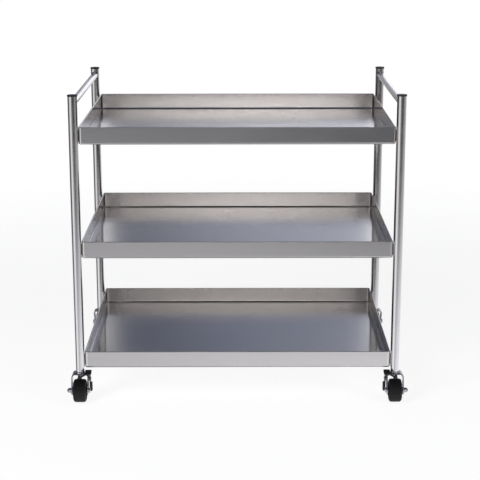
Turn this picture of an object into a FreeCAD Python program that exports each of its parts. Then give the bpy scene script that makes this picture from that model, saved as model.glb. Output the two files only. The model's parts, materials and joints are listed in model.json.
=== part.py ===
import FreeCAD, Part
import math
import os
import Sketcher

# Three-tier tray trolley in stainless steel: four round posts with end caps, a push
# handle at each end, three folded trays with an upstand on all four sides, and four
# swivel castors, the front two with a brake.
#
# Millimetres, +Z up. The origin is on the floor in the middle of the four posts. The
# front of the trolley faces -Y and its two push handles are at -X and +X.

# Driving dimensions, one value for each size that can be set by itself.
DIMENSIONS = {
    # posts
    "frame_width": 900.0,            # over the outsides of the posts, left to right
    "post_depth_spacing": 600.0,     # front post centre to rear post centre
    "overall_height": 855.0,         # floor to the top of the end caps
    "post_diameter": 25.4,
    "post_wall": 1.5,
    # end caps
    "cap_thickness": 4.0,
    "cap_overhang": 1.0,             # how far the cap's rim stands out past the tube
    "cap_edge_round": 1.2,
    "cap_plug_length": 18.0,
    "cap_plug_wall": 1.8,
    "cap_rib_height": 0.3,
    "plug_clearance": 0.1,           # radial, between a plug and the tube it fills
    # push handles
    "handle_diameter": 19.0,
    "handle_wall": 1.2,
    "handle_drop": 23.0,             # from the top of the end caps to the handle's axis
    # trays
    "sheet_thickness": 1.2,
    "tray_height": 47.0,
    "tray_pitch": 314.0,             # from one tray to the next
    "tray_rise": 10.0,               # underside of the bottom tray above the posts' ends
    "tray_front_overhang": 4.0,      # front face ahead of the front posts' centres
    "tray_rear_overhang": 38.0,      # rear face behind the rear posts' centres
    "tray_bend_radius": 5.0,         # outside of the bend between floor and upstand
    "tray_corner_radius": 9.0,       # outside of the upright corners
    "hem_depth": 6.0,                # the top edge is folded in on itself
    "hem_thickness": 3.4,
    "hem_roundness": 0.48,           # radius of the fold as a share of the hem's thickness
    # stiffener under each tray
    "stiffener_crown": 50.0,
    "stiffener_flange": 16.0,
    "stiffener_depth": 12.0,
    "stiffener_setback": 60.0,       # from the tray's side face to the stiffener's end
    # welds
    "weld_gap": 0.15,                # root gap between a post and what is welded to it
    "weld_length": 32.0,
    "weld_near": 2.5,                # along the tray's side, from the line of contact
    "weld_width": 4.5,
    # castor head
    "castor_height": 83.0,           # floor to the posts' lower ends
    "stem_diameter": 12.0,
    "stem_length": 38.0,
    "stem_chamfer": 1.0,
    "insert_length": 44.0,
    "kingpin_diameter": 10.0,
    "kingpin_nut_width": 15.0,       # across flats
    "kingpin_nut_height": 8.5,
    "kingpin_end": 1.0,              # thread that stands past the nut
    "hexagon_chamfer": 1.0,          # how far the corners of a hexagon are turned back
    "head_clearance": 0.3,           # between the fixed head and what swivels
    "running_fit": 0.06,             # radial, where a part turns on a pin
    "seat_fit": 0.02,                # radial, where a part is pressed on a pin
    "race_diameter": 30.0,
    "race_thickness": 2.0,
    "race_rim": 1.6,
    "race_round": 1.2,
    "rim_gap": 0.8,                  # race rim to the fork's crown
    "ball_diameter": 3.2,
    "ball_circle": 20.0,
    "ball_count": 8,
    "track_depth": 0.6,              # of the tracks pressed for the balls
    "cage_width": 2.6,
    "cage_thickness": 0.8,
    # castor fork
    "fork_opening": 41.0,            # between the insides of the legs
    "fork_thickness": 3.0,
    "fork_bend_radius": 9.0,         # outside of the bends at the crown
    "crown_front": 15.5,             # crown edge ahead of the swivel axis
    "crown_rear": 17.0,
    "leg_end_radius": 13.0,
    "trail": 20.0,                   # axle ahead of the swivel axis
    # wheel
    "wheel_diameter": 65.0,
    "tyre_width": 35.0,
    "tyre_round": 7.0,               # radius between the tread and the side walls
    "tyre_wall": 0.5,                # flat of the side wall below that radius
    "tyre_flank": 2.0,               # how far the tyre narrows towards the rim
    "rim_diameter": 45.0,
    "rim_width": 30.0,
    "rim_wall": 3.0,
    "bond_gap": 0.03,                # radial, between tyre and rim
    "boss_diameter": 18.0,
    "hub_width": 40.0,
    "web_thickness": 5.0,
    "rib_thickness": 2.0,
    "rib_width": 22.0,
    "rib_count": 6,
    # axle
    "axle_diameter": 8.0,
    "axle_head_width": 13.0,         # across flats
    "axle_head_height": 5.3,
    "washer_diameter": 17.0,
    "washer_thickness": 1.6,
    "axle_nut_height": 6.5,
    "nut_collar_diameter": 11.6,
    "nut_collar_height": 1.8,
    "axle_end": 2.0,                 # thread that stands past the nut
    # brake
    "brake_pivot_back": 2.0,         # pivot behind the swivel axis
    "brake_pivot_height": 60.0,
    "brake_pin_diameter": 6.0,
    "brake_pin_head": 11.0,
    "brake_pin_head_height": 1.8,
    "brake_gap": 1.5,                # leg to lever, filled by the pin's collar
    "lever_clearance": 0.2,          # endwise, between the lever and the pin
    "lever_thickness": 2.5,
    "lever_boss_diameter": 16.0,
    "lever_boss_round": 5.0,
    "lever_end_round": 3.0,          # corners of the tail and of the pedal
    "pedal_rear": 4.0,               # edges of the pedal ahead of the swivel axis
    "pedal_front": 24.0,
    "pedal_rear_height": 87.5,
    "pedal_front_height": 81.5,
    "pedal_inner": 15.0,             # edges of the pedal beside the swivel axis
    "pedal_outer": 32.0,
    "pedal_ribs": 4,
    "pedal_rib_width": 1.6,
    "pedal_rib_height": 0.8,
    "tongue_width": 8.0,
    "tongue_front": 28.0,
    "tongue_run": 4.0,               # level stretch at the end, over the tyre
    "shoe_length": 12.0,             # across the tyre
    "shoe_width": 9.0,
    "shoe_height": 3.0,
    "shoe_lift": 3.5,                # shoe above the tread when the brake is off
    "tail_width": 9.0,
    "tail_bottom": 27.0,
    "pad_height": 24.0,
    "pad_width": 13.0,
    "pad_thickness": 5.0,
    "pad_round": 2.0,
}

TRAY_NAMES = ("bottom", "middle", "top")
SAME = 0.01                          # measures closer than this are taken as equal

document = FreeCAD.newDocument("tray_trolley")
sheet = document.addObject("Spreadsheet::Sheet", "sizes")


# A length that keeps its formula
class Length:
    """A value in millimetres beside the formula by which the document works it out."""

    def __init__(self, value, formula):
        self.value = value
        self.formula = formula

    def __add__(self, other):
        other = length(other)
        return Length(self.value + other.value, f"({self.formula} + {other.formula})")

    def __sub__(self, other):
        other = length(other)
        return Length(self.value - other.value, f"({self.formula} - {other.formula})")

    def __mul__(self, other):
        other = length(other)
        return Length(self.value * other.value, f"({self.formula} * {other.formula})")

    def __truediv__(self, other):
        other = length(other)
        return Length(self.value / other.value, f"({self.formula} / {other.formula})")

    def __neg__(self):
        return length(0) - self

    __radd__ = __add__

    def __rsub__(self, other):
        return length(other) - self

    __rmul__ = __mul__


def length(value):
    """The value as a Length, whether it is one already or a plain number."""
    if isinstance(value, Length):
        return value
    return Length(float(value), f"({float(value)})")


for row, (alias, value) in enumerate(DIMENSIONS.items(), start=1):
    sheet.set(f"A{row}", alias.replace("_", " "))
    sheet.set(f"B{row}", str(value))
    sheet.setAlias(f"B{row}", alias)
document.recompute()


def size(alias):
    return Length(DIMENSIONS[alias], f"sizes.{alias}")


def bind(target, prop, value):
    """Ties a property to the sheet through its formula."""
    target.setExpression(prop, length(value).formula)


# Sketches
def origin_item(body, role):
    """The body's own plane or axis with this role."""
    return [item for item in body.Origin.OriginFeatures if item.Role == role][0]


def add_sketch(body, name, role, offset=0):
    """A sketch on one of the body's own planes, moved along the plane's normal."""
    sketch = body.newObject("Sketcher::SketchObject", name)
    sketch.AttachmentSupport = [(origin_item(body, role), "")]
    sketch.MapMode = "FlatFace"
    bind(sketch, "AttachmentOffset.Base.z", offset)
    return sketch


def fix_point(sketch, geometry, end, x, y):
    """Holds one point of the sketch at x and y from the sketch's origin."""
    for kind, value in (("DistanceX", length(x)), ("DistanceY", length(y))):
        constraint = Sketcher.Constraint(kind, -1, 1, geometry, end, value.value)
        index = sketch.addConstraint(constraint)
        bind(sketch, f"Constraints[{index}]", value)


def add_outline(sketch, corners):
    """A closed outline of straight edges through the corners."""
    corners = [(length(x), length(y)) for x, y in corners]
    points = [FreeCAD.Vector(x.value, y.value, 0) for x, y in corners]
    edges = []
    for start, end in zip(points, points[1:] + points[:1]):
        edges.append(sketch.addGeometry(Part.LineSegment(start, end), False))
    for edge, following in zip(edges, edges[1:] + edges[:1]):
        sketch.addConstraint(Sketcher.Constraint("Coincident", edge, 2, following, 1))
    for edge, (x, y) in zip(edges, corners):
        fix_point(sketch, edge, 1, x, y)


def add_rectangle(sketch, left, right, low, high):
    add_outline(sketch, [(left, low), (right, low), (right, high), (left, high)])


def fix_radius(sketch, geometry, radius):
    index = sketch.addConstraint(Sketcher.Constraint("Radius", geometry, radius.value))
    bind(sketch, f"Constraints[{index}]", radius)


def add_circle(sketch, radius, x=0, y=0):
    radius, x, y = length(radius), length(x), length(y)
    centre = FreeCAD.Vector(x.value, y.value, 0)
    circle = Part.Circle(centre, FreeCAD.Vector(0, 0, 1), radius.value)
    geometry = sketch.addGeometry(circle, False)
    fix_point(sketch, geometry, 3, x, y)
    fix_radius(sketch, geometry, radius)


def add_arc(sketch, centre, radius, start, end):
    """An anticlockwise arc between two angles in radians, its centre and radius fixed."""
    x, y = length(centre[0]), length(centre[1])
    circle = Part.Circle(FreeCAD.Vector(x.value, y.value, 0), FreeCAD.Vector(0, 0, 1), radius.value)
    geometry = sketch.addGeometry(Part.ArcOfCircle(circle, start, end), False)
    fix_point(sketch, geometry, 3, x, y)
    fix_radius(sketch, geometry, radius)
    return geometry


def add_rounded_rectangle(sketch, left, right, low, high, radius):
    """A rectangle whose corners are arcs, each tangent to the two sides that it joins."""
    centres = [
        (right - radius, low + radius),
        (right - radius, high - radius),
        (left + radius, high - radius),
        (left + radius, low + radius),
    ]
    quarter = math.pi / 2
    arcs = []
    for number, centre in enumerate(centres):
        arcs.append(add_arc(sketch, centre, radius, (number - 1) * quarter, number * quarter))
    for arc, following in zip(arcs, arcs[1:] + arcs[:1]):
        start, end = sketch.getPoint(arc, 2), sketch.getPoint(following, 1)
        side = sketch.addGeometry(Part.LineSegment(start, end), False)
        sketch.addConstraint(Sketcher.Constraint("Tangent", arc, 2, side, 1))
        sketch.addConstraint(Sketcher.Constraint("Tangent", side, 2, following, 1))


def add_hexagon(sketch, across_flats):
    """A hexagon about the origin with two flats upright."""
    flat = across_flats / 2
    corner = across_flats / math.sqrt(3)
    side = [(flat, -corner / 2), (flat, corner / 2), (0, corner)]
    add_outline(sketch, side + [(-x, -y) for x, y in side])


# Features
def chamfer_hexagon(body, name, across_flats, axis, faces):
    """Turns back the corners of a hexagon at its end faces, each given with its inward side."""
    corner = across_flats / math.sqrt(3)
    depth = size("hexagon_chamfer")
    for number, (face, inward) in enumerate(faces):
        outline = [
            (corner - depth, face),
            (corner + depth, face),
            (corner + depth, face + depth * inward * math.tan(math.radians(60))),
        ]
        if axis == "H_Axis":
            outline = [(along, across) for across, along in outline]
        revolve(body, f"{name}_chamfer_{number}", outline, axis, "Groove")


def new_body(label):
    body = document.addObject("PartDesign::Body", label)
    body.Label = label
    return body


def extrude(body, sketch, distance, kind="Pad"):
    """Pads or pockets a sketch along its normal, away from its plane."""
    feature = body.newObject(f"PartDesign::{kind}", sketch.Name + "_" + kind.lower())
    feature.Profile = sketch
    bind(feature, "Length", distance)
    feature.Reversed = kind == "Pocket"
    body.Tip = feature
    document.recompute()
    return feature


def slab(body, name, role, start, end, draw, kind="Pad"):
    """The shape that draw makes in a sketch, taken from start to end along the normal."""
    sketch = add_sketch(body, name, role, start)
    draw(sketch)
    before = body.Shape.Volume if kind == "Pocket" else 0
    feature = extrude(body, sketch, length(end) - length(start), kind)
    if kind == "Pocket" and body.Shape.Volume >= before:
        raise RuntimeError(f"{body.Label}: {name} cuts nothing")
    return feature


def turn_sketch(body, sketch, axis, kind="Revolution"):
    """Turns a sketch about its own H_Axis or V_Axis, to add metal or as a Groove."""
    before = body.Shape.Volume if kind == "Groove" else 0
    feature = body.newObject(f"PartDesign::{kind}", sketch.Name + "_turned")
    feature.Profile = sketch
    feature.ReferenceAxis = (sketch, [axis])
    feature.Angle = 360
    body.Tip = feature
    document.recompute()
    if kind == "Groove" and body.Shape.Volume >= before:
        raise RuntimeError(f"{body.Label}: {sketch.Name} cuts nothing")


def revolve(body, name, corners, axis, kind="Revolution"):
    """Turns an outline drawn in the XZ plane."""
    sketch = add_sketch(body, name, "XZ_Plane")
    add_outline(sketch, corners)
    turn_sketch(body, sketch, axis, kind)


def ring_pattern(body, name, feature, axis, count):
    """Repeats a feature at equal angles about one of the body's own axes."""
    pattern = body.newObject("PartDesign::PolarPattern", name)
    pattern.Originals = [feature]
    pattern.Axis = (origin_item(body, axis), [""])
    pattern.Angle = 360
    bind(pattern, "Occurrences", count)
    body.Tip = pattern
    document.recompute()
    return pattern


def dress(body, kind, amount, chosen):
    """A Fillet or Chamfer on each edge of the body for which chosen(edge) is true."""
    base = body.Tip
    numbered = enumerate(base.Shape.Edges, start=1)
    edges = [f"Edge{number}" for number, edge in numbered if chosen(edge)]
    if not edges:
        raise RuntimeError(f"{body.Label}: no edge to dress")
    feature = body.newObject(f"PartDesign::{kind}", f"{body.Name}_{kind.lower()}")
    feature.Base = (base, edges)
    bind(feature, "Radius" if kind == "Fillet" else "Size", amount)
    body.Tip = feature
    document.recompute()
    return feature


def near(first, second):
    return abs(first - length(second).value) < SAME


def at_height(height):
    """Chooses the edges or faces that lie level at this height."""
    def chosen(item):
        box = item.BoundBox
        return near(box.ZMin, height) and near(box.ZMax, height)
    return chosen


def hollow_out(body, name, wall, open_side):
    """Leaves a wall of even thickness, open at each face for which open_side(face) is true."""
    base = body.Tip
    numbered = enumerate(base.Shape.Faces, start=1)
    faces = [f"Face{number}" for number, face in numbered if open_side(face)]
    shell = body.newObject("PartDesign::Thickness", name)
    shell.Base = (base, faces)
    shell.Reversed = True
    shell.Mode = "Skin"
    shell.Join = "Intersection"
    bind(shell, "Value", wall)
    body.Tip = shell
    document.recompute()


def runs_along(edge, axis):
    """Whether a straight edge lies along the axis with this number."""
    if not isinstance(edge.Curve, (Part.Line, Part.LineSegment)):
        return False
    direction = edge.tangentAt(edge.FirstParameter)
    return abs(direction[axis]) > 1 - SAME


def is_ring(edge, radius, axis, place):
    """Whether an edge is a circle of this radius whose centre is at place on the axis."""
    if not isinstance(edge.Curve, Part.Circle):
        return False
    return near(edge.Curve.Radius, radius) and near(edge.Curve.Center[axis], place)


def put(body, x=0, y=0, z=0, turn=0):
    """Places a body, turned about Z by this many degrees."""
    body.Placement = FreeCAD.Placement(
        FreeCAD.Vector(0, 0, 0), FreeCAD.Rotation(FreeCAD.Vector(0, 0, 1), turn)
    )
    for axis, value in zip("xyz", (x, y, z)):
        bind(body, f"Placement.Base.{axis}", value)


nodes = {}


def keep(item):
    """Records a finished sub-part, which gets its own file."""
    nodes[item.Label] = item
    return item


def group(label, members):
    """Separate equal solids that share one node."""
    item = document.addObject("Part::Compound", label)
    item.Label = label
    item.Links = members
    return keep(item)


# Places that several sub-parts share
post_radius = size("post_diameter") / 2
post_bore = post_radius - size("post_wall")
post_x = size("frame_width") / 2 - post_radius
post_y = size("post_depth_spacing") / 2
post_bottom = size("castor_height")
post_top = size("overall_height") - size("cap_thickness")
handle_height = size("overall_height") - size("handle_drop")

tray_half_width = post_x - post_radius - size("weld_gap")
tray_front = -post_y - size("tray_front_overhang")
tray_rear = post_y + size("tray_rear_overhang")

wheel_radius = size("wheel_diameter") / 2
race_under = post_bottom - size("race_thickness")
ball_middle = race_under + size("track_depth") - size("head_clearance") - size("ball_diameter") / 2
crown_top = ball_middle - size("ball_diameter") / 2 + size("track_depth")
crown_underside = crown_top - size("fork_thickness")
leg_inside = size("fork_opening") / 2
leg_outside = leg_inside + size("fork_thickness")
axle_radius = size("axle_diameter") / 2
kingpin_radius = size("kingpin_diameter") / 2

CORNERS = {
    "front_left": (-1, -1),
    "front_right": (1, -1),
    "rear_left": (-1, 1),
    "rear_right": (1, 1),
}


def tray_underside(level):
    return post_bottom + size("tray_rise") + size("tray_pitch") * level


# Posts: round tube from the castors to the end caps
def make_post(label, side_x, side_y):
    body = new_body(label)

    def rings(sketch):
        add_circle(sketch, post_radius)
        add_circle(sketch, post_bore)

    slab(body, f"{label}_section", "XY_Plane", post_bottom, post_top, rings)
    put(body, post_x * side_x, post_y * side_y)
    keep(body)


# End caps: a flat rim over the tube's end and a hollow ribbed plug inside it
def make_post_cap(label, side_x, side_y):
    body = new_body(label)
    rim = post_radius + size("cap_overhang")
    plug = post_bore - size("plug_clearance") - size("cap_rib_height")
    ribbed = plug + size("cap_rib_height")
    hollow = plug - size("cap_plug_wall")
    plug_end = post_top - size("cap_plug_length")
    third = size("cap_plug_length") / 3
    outline = [
        (0, size("overall_height")),
        (rim, size("overall_height")),
        (rim, post_top),
        (plug, post_top),
        (plug, post_top - third),
        (ribbed, post_top - third),
        (plug, post_top - third * 2),
        (ribbed, post_top - third * 2),
        (plug, plug_end),
        (hollow, plug_end),
        (hollow, post_top),
        (0, post_top),
    ]
    revolve(body, f"{label}_profile", outline, "V_Axis")

    def upper_edge(edge):
        return is_ring(edge, rim, 2, size("overall_height"))

    dress(body, "Fillet", size("cap_edge_round"), upper_edge)
    put(body, post_x * side_x, post_y * side_y)
    keep(body)


# Push handles: straight tube from front post to rear post, its ends coped to the posts
def make_handle(label, side_x):
    body = new_body(label)
    outer = size("handle_diameter") / 2
    inner = outer - size("handle_wall")

    def rings(sketch):
        add_circle(sketch, outer, 0, handle_height)
        add_circle(sketch, inner, 0, handle_height)

    def cope(sketch):
        for side_y in (-1, 1):
            add_circle(sketch, post_radius + size("weld_gap"), 0, post_y * side_y)

    slab(body, f"{label}_section", "XZ_Plane", -post_y, post_y, rings)
    slab(body, f"{label}_cope", "XY_Plane", handle_height - outer, handle_height + outer, cope, "Pocket")
    put(body, post_x * side_x)
    keep(body)


# Trays: one folded sheet each, with a hemmed upstand on all four sides
def make_tray(label, level):
    body = new_body(label)
    top = size("tray_height")
    hem_under = top - size("hem_depth")
    corner = size("tray_corner_radius")
    bend = size("tray_bend_radius")

    def inset(distance):
        """The tray's plan, standing in from its outside by this distance."""
        def draw(sketch):
            add_rounded_rectangle(
                sketch,
                -tray_half_width + distance,
                tray_half_width - distance,
                tray_front + distance,
                tray_rear - distance,
                corner - distance,
            )
        return draw

    def hem(sketch):
        inset(length(0))(sketch)
        inset(size("hem_thickness"))(sketch)

    slab(body, f"{label}_blank", "XY_Plane", 0, top, inset(length(0)))
    dress(body, "Fillet", bend, at_height(0))
    hollow_out(body, f"{label}_sheet", size("sheet_thickness"), at_height(top))
    slab(body, f"{label}_hem", "XY_Plane", hem_under, top, hem)
    dress(body, "Fillet", size("hem_thickness") * size("hem_roundness"), at_height(top))
    put(body, 0, 0, tray_underside(level))
    keep(body)


# Stiffeners: a hat-shaped channel spot-welded along the underside of each tray
def make_stiffener(label, level):
    body = new_body(label)
    metal = size("sheet_thickness")
    crown = size("stiffener_crown") / 2
    flange = crown + size("stiffener_flange")
    drop = size("stiffener_depth")
    half_length = tray_half_width - size("stiffener_setback")
    half = [
        (crown, -drop),
        (crown, -metal),
        (flange, -metal),
        (flange, 0),
        (crown - metal, 0),
        (crown - metal, metal - drop),
    ]
    outline = half + [(-y, z) for y, z in reversed(half)]

    def section(sketch):
        add_outline(sketch, outline)

    slab(body, f"{label}_section", "YZ_Plane", -half_length, half_length, section)
    put(body, 0, (tray_front + tray_rear) / 2, tray_underside(level))
    keep(body)


# Weld beads: short upright runs in the wedge between each post and a tray's side
def make_weld_beads(label):
    beads = []
    for corner, (side_x, side_y) in CORNERS.items():
        for level, tray in enumerate(TRAY_NAMES):
            # a front post stands at the tray's rounded corner, so its bead is on the inner side alone
            for bead_side in ((1, -1) if side_y > 0 else (1,)):
                name = f"bead_{corner}_{tray}_{'behind' if bead_side > 0 else 'ahead'}"
                block = document.addObject("Part::Box", name + "_block")
                bind(block, "Length", post_radius + size("weld_gap"))
                bind(block, "Width", size("weld_width"))
                bind(block, "Height", size("weld_length"))
                near_x = post_x * side_x - (post_radius + size("weld_gap")) * (1 if side_x > 0 else 0)
                first = size("weld_near") if bead_side > 0 else -size("weld_near") - size("weld_width")
                bead_z = tray_underside(level) + (size("tray_height") - size("weld_length")) / 2
                put(block, near_x, post_y * side_y + first, bead_z)
                tube = document.addObject("Part::Cylinder", name + "_tube")
                bind(tube, "Radius", post_radius)
                bind(tube, "Height", size("weld_length") * 2)
                put(tube, post_x * side_x, post_y * side_y, bead_z - size("weld_length") / 2)
                bead = document.addObject("Part::Cut", name)
                bead.Base = block
                bead.Tool = tube
                beads.append(bead)
    group(label, beads)


# Castor heads, which stay with the frame
def make_stem_insert(name, side_x, side_y):
    body = new_body(name)
    bore = size("stem_diameter") / 2 + size("seat_fit")
    outside = post_bore - size("plug_clearance")
    end = post_bottom + size("insert_length")
    outline = [(bore, post_bottom), (outside, post_bottom), (outside, end), (bore, end)]
    revolve(body, f"{name}_profile", outline, "V_Axis")
    put(body, post_x * side_x, post_y * side_y)
    return body


def make_castor_stem(label, side_x, side_y):
    """The stem in the post's insert and, below its shoulder, the kingpin."""
    body = new_body(label)
    stem = size("stem_diameter") / 2
    stem_end = post_bottom + size("stem_length")
    nut_top = crown_underside - size("head_clearance")
    pin_end = nut_top - size("kingpin_nut_height") - size("kingpin_end")
    outline = [
        (0, pin_end),
        (kingpin_radius, pin_end),
        (kingpin_radius, post_bottom),
        (stem, post_bottom),
        (stem, stem_end),
        (0, stem_end),
    ]
    revolve(body, f"{label}_profile", outline, "V_Axis")
    dress(body, "Chamfer", size("stem_chamfer"), lambda edge: is_ring(edge, stem, 2, stem_end))
    put(body, post_x * side_x, post_y * side_y)
    keep(body)


def cut_ball_track(body, clearance):
    """Presses the balls' ring into a flat face that lies nearer to them than their radius."""
    sketch = add_sketch(body, f"{body.Name}_track", "XZ_Plane")
    add_circle(sketch, size("ball_diameter") / 2 + clearance, size("ball_circle") / 2, ball_middle)
    turn_sketch(body, sketch, "V_Axis", "Groove")


def make_upper_race(label, side_x, side_y):
    """A pressed cup over the balls, with its rim turned down."""
    body = new_body(label)
    bore = kingpin_radius + size("seat_fit")
    outside = size("race_diameter") / 2
    rim_end = crown_top + size("rim_gap")
    outline = [
        (bore, race_under),
        (outside - size("race_rim"), race_under),
        (outside - size("race_rim"), rim_end),
        (outside, rim_end),
        (outside, post_bottom),
        (bore, post_bottom),
    ]
    revolve(body, f"{label}_profile", outline, "V_Axis")
    dress(body, "Fillet", size("race_round"), lambda edge: is_ring(edge, outside, 2, post_bottom))
    cut_ball_track(body, size("head_clearance"))
    put(body, post_x * side_x, post_y * side_y)
    keep(body)


def make_kingpin_nut(name, side_x, side_y):
    body = new_body(name)
    nut_top = crown_underside - size("head_clearance")

    def section(sketch):
        add_hexagon(sketch, size("kingpin_nut_width"))
        add_circle(sketch, kingpin_radius + size("seat_fit"))

    nut_under = nut_top - size("kingpin_nut_height")
    slab(body, f"{name}_section", "XY_Plane", nut_under, nut_top, section)
    faces = ((nut_under, 1), (nut_top, -1))
    chamfer_hexagon(body, name, size("kingpin_nut_width"), "V_Axis", faces)
    put(body, post_x * side_x, post_y * side_y)
    return body


# Castor forks: a pressed strap with a flat crown and two legs that taper to the axle.
# A castor's own frame has its swivel axis at x = y = 0, and the wheel trails towards -Y.
def place_castor(body, side_x, side_y, ahead=0, height=0):
    """Puts a castor's piece under its post; the rear castors trail towards +Y."""
    turn = 0 if side_y < 0 else 180
    put(body, post_x * side_x, (post_y + ahead) * side_y, height, turn)


def make_fork(label, side_x, side_y, brake_side):
    body = new_body(label)
    leg_bottom = wheel_radius - size("leg_end_radius")

    def strap(sketch):
        add_outline(sketch, [
            (-leg_outside, leg_bottom),
            (-leg_inside, leg_bottom),
            (-leg_inside, crown_underside),
            (leg_inside, crown_underside),
            (leg_inside, leg_bottom),
            (leg_outside, leg_bottom),
            (leg_outside, crown_top),
            (-leg_outside, crown_top),
        ])

    front = size("trail") + size("leg_end_radius")
    slab(body, f"{label}_strap", "XZ_Plane", -size("crown_rear"), front, strap)

    def outer_bend(edge):
        return runs_along(edge, 1) and near(edge.BoundBox.ZMax, crown_top)

    def inner_bend(edge):
        return runs_along(edge, 1) and near(edge.BoundBox.ZMax, crown_underside)

    dress(body, "Fillet", size("fork_bend_radius"), outer_bend)
    dress(body, "Fillet", size("fork_bend_radius") - size("fork_thickness"), inner_bend)

    # all that lies outside the legs' side view is cut away
    side_view = add_sketch(body, f"{label}_side_view", "YZ_Plane")
    margin = size("fork_thickness")
    rear = size("crown_rear") + margin
    add_rectangle(side_view, -front - margin, rear, leg_bottom - margin, crown_top + margin)
    add_leg_outline(side_view)
    cut = extrude(body, side_view, leg_outside * 2 + margin * 2, "Pocket")
    cut.SideType = "Symmetric"

    def kingpin_hole(sketch):
        add_circle(sketch, kingpin_radius + size("running_fit"))

    def axle_hole(sketch):
        add_circle(sketch, axle_radius + size("seat_fit"), -size("trail"), wheel_radius)

    slab(body, f"{label}_kingpin_hole", "XY_Plane", crown_underside, crown_top, kingpin_hole, "Pocket")
    slab(body, f"{label}_axle_hole", "YZ_Plane", -leg_outside, leg_outside, axle_hole, "Pocket")

    if brake_side:
        def brake_pin_hole(sketch):
            radius = size("brake_pin_diameter") / 2 + size("seat_fit")
            add_circle(sketch, radius, size("brake_pivot_back"), size("brake_pivot_height"))

        start, end = sorted_span(leg_inside, leg_outside, brake_side)
        slab(body, f"{label}_brake_hole", "YZ_Plane", start, end, brake_pin_hole, "Pocket")
    cut_ball_track(body, size("seat_fit"))
    place_castor(body, side_x, side_y)
    keep(body)


def sorted_span(inner, outer, side):
    """The span from inner to outer on one side of a plane, lower end first."""
    return (inner, outer) if side > 0 else (-outer, -inner)


def add_leg_outline(sketch):
    """Side view of a leg: straight from the crown to a round end about the axle."""
    radius = size("leg_end_radius")
    axle = (-size("trail"), wheel_radius)
    front_top = (-size("crown_front"), crown_top)
    rear_top = (size("crown_rear"), crown_top)
    start = tangent_angle(axle, radius, front_top, -1)
    end = tangent_angle(axle, radius, rear_top, 1)
    foot = add_arc(sketch, axle, radius, start, end)
    points = [
        sketch.getPoint(foot, 2),
        FreeCAD.Vector(rear_top[0].value, rear_top[1].value, 0),
        FreeCAD.Vector(front_top[0].value, front_top[1].value, 0),
        sketch.getPoint(foot, 1),
    ]
    rear, crown, front = [
        sketch.addGeometry(Part.LineSegment(first, second), False)
        for first, second in zip(points, points[1:])
    ]
    sketch.addConstraint(Sketcher.Constraint("Tangent", foot, 2, rear, 1))
    sketch.addConstraint(Sketcher.Constraint("Coincident", rear, 2, crown, 1))
    sketch.addConstraint(Sketcher.Constraint("Coincident", crown, 2, front, 1))
    sketch.addConstraint(Sketcher.Constraint("Tangent", front, 2, foot, 1))
    fix_point(sketch, crown, 1, *rear_top)
    fix_point(sketch, crown, 2, *front_top)


def tangent_angle(centre, radius, outside, side):
    """The angle about a circle's centre at which the tangent from a point touches it."""
    across = (outside[0] - centre[0]).value
    up = (outside[1] - centre[1]).value
    opening = math.acos(radius.value / math.hypot(across, up))
    return math.atan2(up, across) - side * opening


# Ball rings: balls in a flat cage between the crown and the race
def make_ball_ring(label, side_x, side_y):
    body = new_body(label)
    ball_radius = size("ball_diameter") / 2
    circle_radius = size("ball_circle") / 2
    half_cage = size("cage_thickness") / 2

    def cage(sketch):
        for edge_side in (-1, 1):
            add_circle(sketch, circle_radius + size("cage_width") / 2 * edge_side)

    slab(body, f"{label}_cage", "XY_Plane", ball_middle - half_cage, ball_middle + half_cage, cage)
    ball = body.newObject("PartDesign::AdditiveSphere", f"{label}_ball")
    ball.AttachmentSupport = [(origin_item(body, "XY_Plane"), "")]
    ball.MapMode = "FlatFace"
    bind(ball, "Radius", ball_radius)
    bind(ball, "AttachmentOffset.Base.x", circle_radius)
    bind(ball, "AttachmentOffset.Base.z", ball_middle)
    body.Tip = ball
    document.recompute()
    ring_pattern(body, f"{label}_balls", ball, "Z_Axis", size("ball_count"))
    place_castor(body, side_x, side_y)
    keep(body)


# Wheels: a rubber tyre on a moulded hub. Their own frame has the axle along X.
def place_wheel(body, side_x, side_y):
    place_castor(body, side_x, side_y, size("trail"), wheel_radius)


def make_tyre(label, side_x, side_y):
    body = new_body(label)
    half = size("tyre_width") / 2
    foot = half - size("tyre_flank")
    bore = size("rim_diameter") / 2 + size("bond_gap")
    shoulder_radius = wheel_radius - size("tyre_round") - size("tyre_wall")
    outline = [(-half, wheel_radius), (-half, shoulder_radius), (-foot, bore)]
    outline += [(-x, y) for x, y in reversed(outline)]
    revolve(body, f"{label}_profile", outline, "H_Axis")

    def shoulder(edge):
        return is_ring(edge, wheel_radius, 0, half) or is_ring(edge, wheel_radius, 0, -half)

    dress(body, "Fillet", size("tyre_round"), shoulder)
    place_wheel(body, side_x, side_y)
    keep(body)


def make_hub(label, side_x, side_y):
    body = new_body(label)
    rim = size("rim_diameter") / 2
    rim_under = rim - size("rim_wall")
    half_rim = size("rim_width") / 2
    boss = size("boss_diameter") / 2
    half_hub = size("hub_width") / 2
    half_web = size("web_thickness") / 2
    bore = axle_radius + size("running_fit")
    half = [
        (half_hub, bore),
        (half_hub, boss),
        (half_web, boss),
        (half_web, rim_under),
        (half_rim, rim_under),
        (half_rim, rim),
    ]
    outline = half + [(-x, y) for x, y in reversed(half)]
    revolve(body, f"{label}_profile", outline, "H_Axis")

    overlap = size("rim_wall") / 2
    half_thickness = size("rib_thickness") / 2
    half_width = size("rib_width") / 2

    def rib(sketch):
        add_rectangle(sketch, boss - overlap, rim_under + overlap, -half_thickness, half_thickness)

    first_rib = slab(body, f"{label}_rib", "YZ_Plane", -half_width, half_width, rib)
    ring_pattern(body, f"{label}_ribs", first_rib, "X_Axis", size("rib_count"))
    place_wheel(body, side_x, side_y)
    keep(body)


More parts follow.
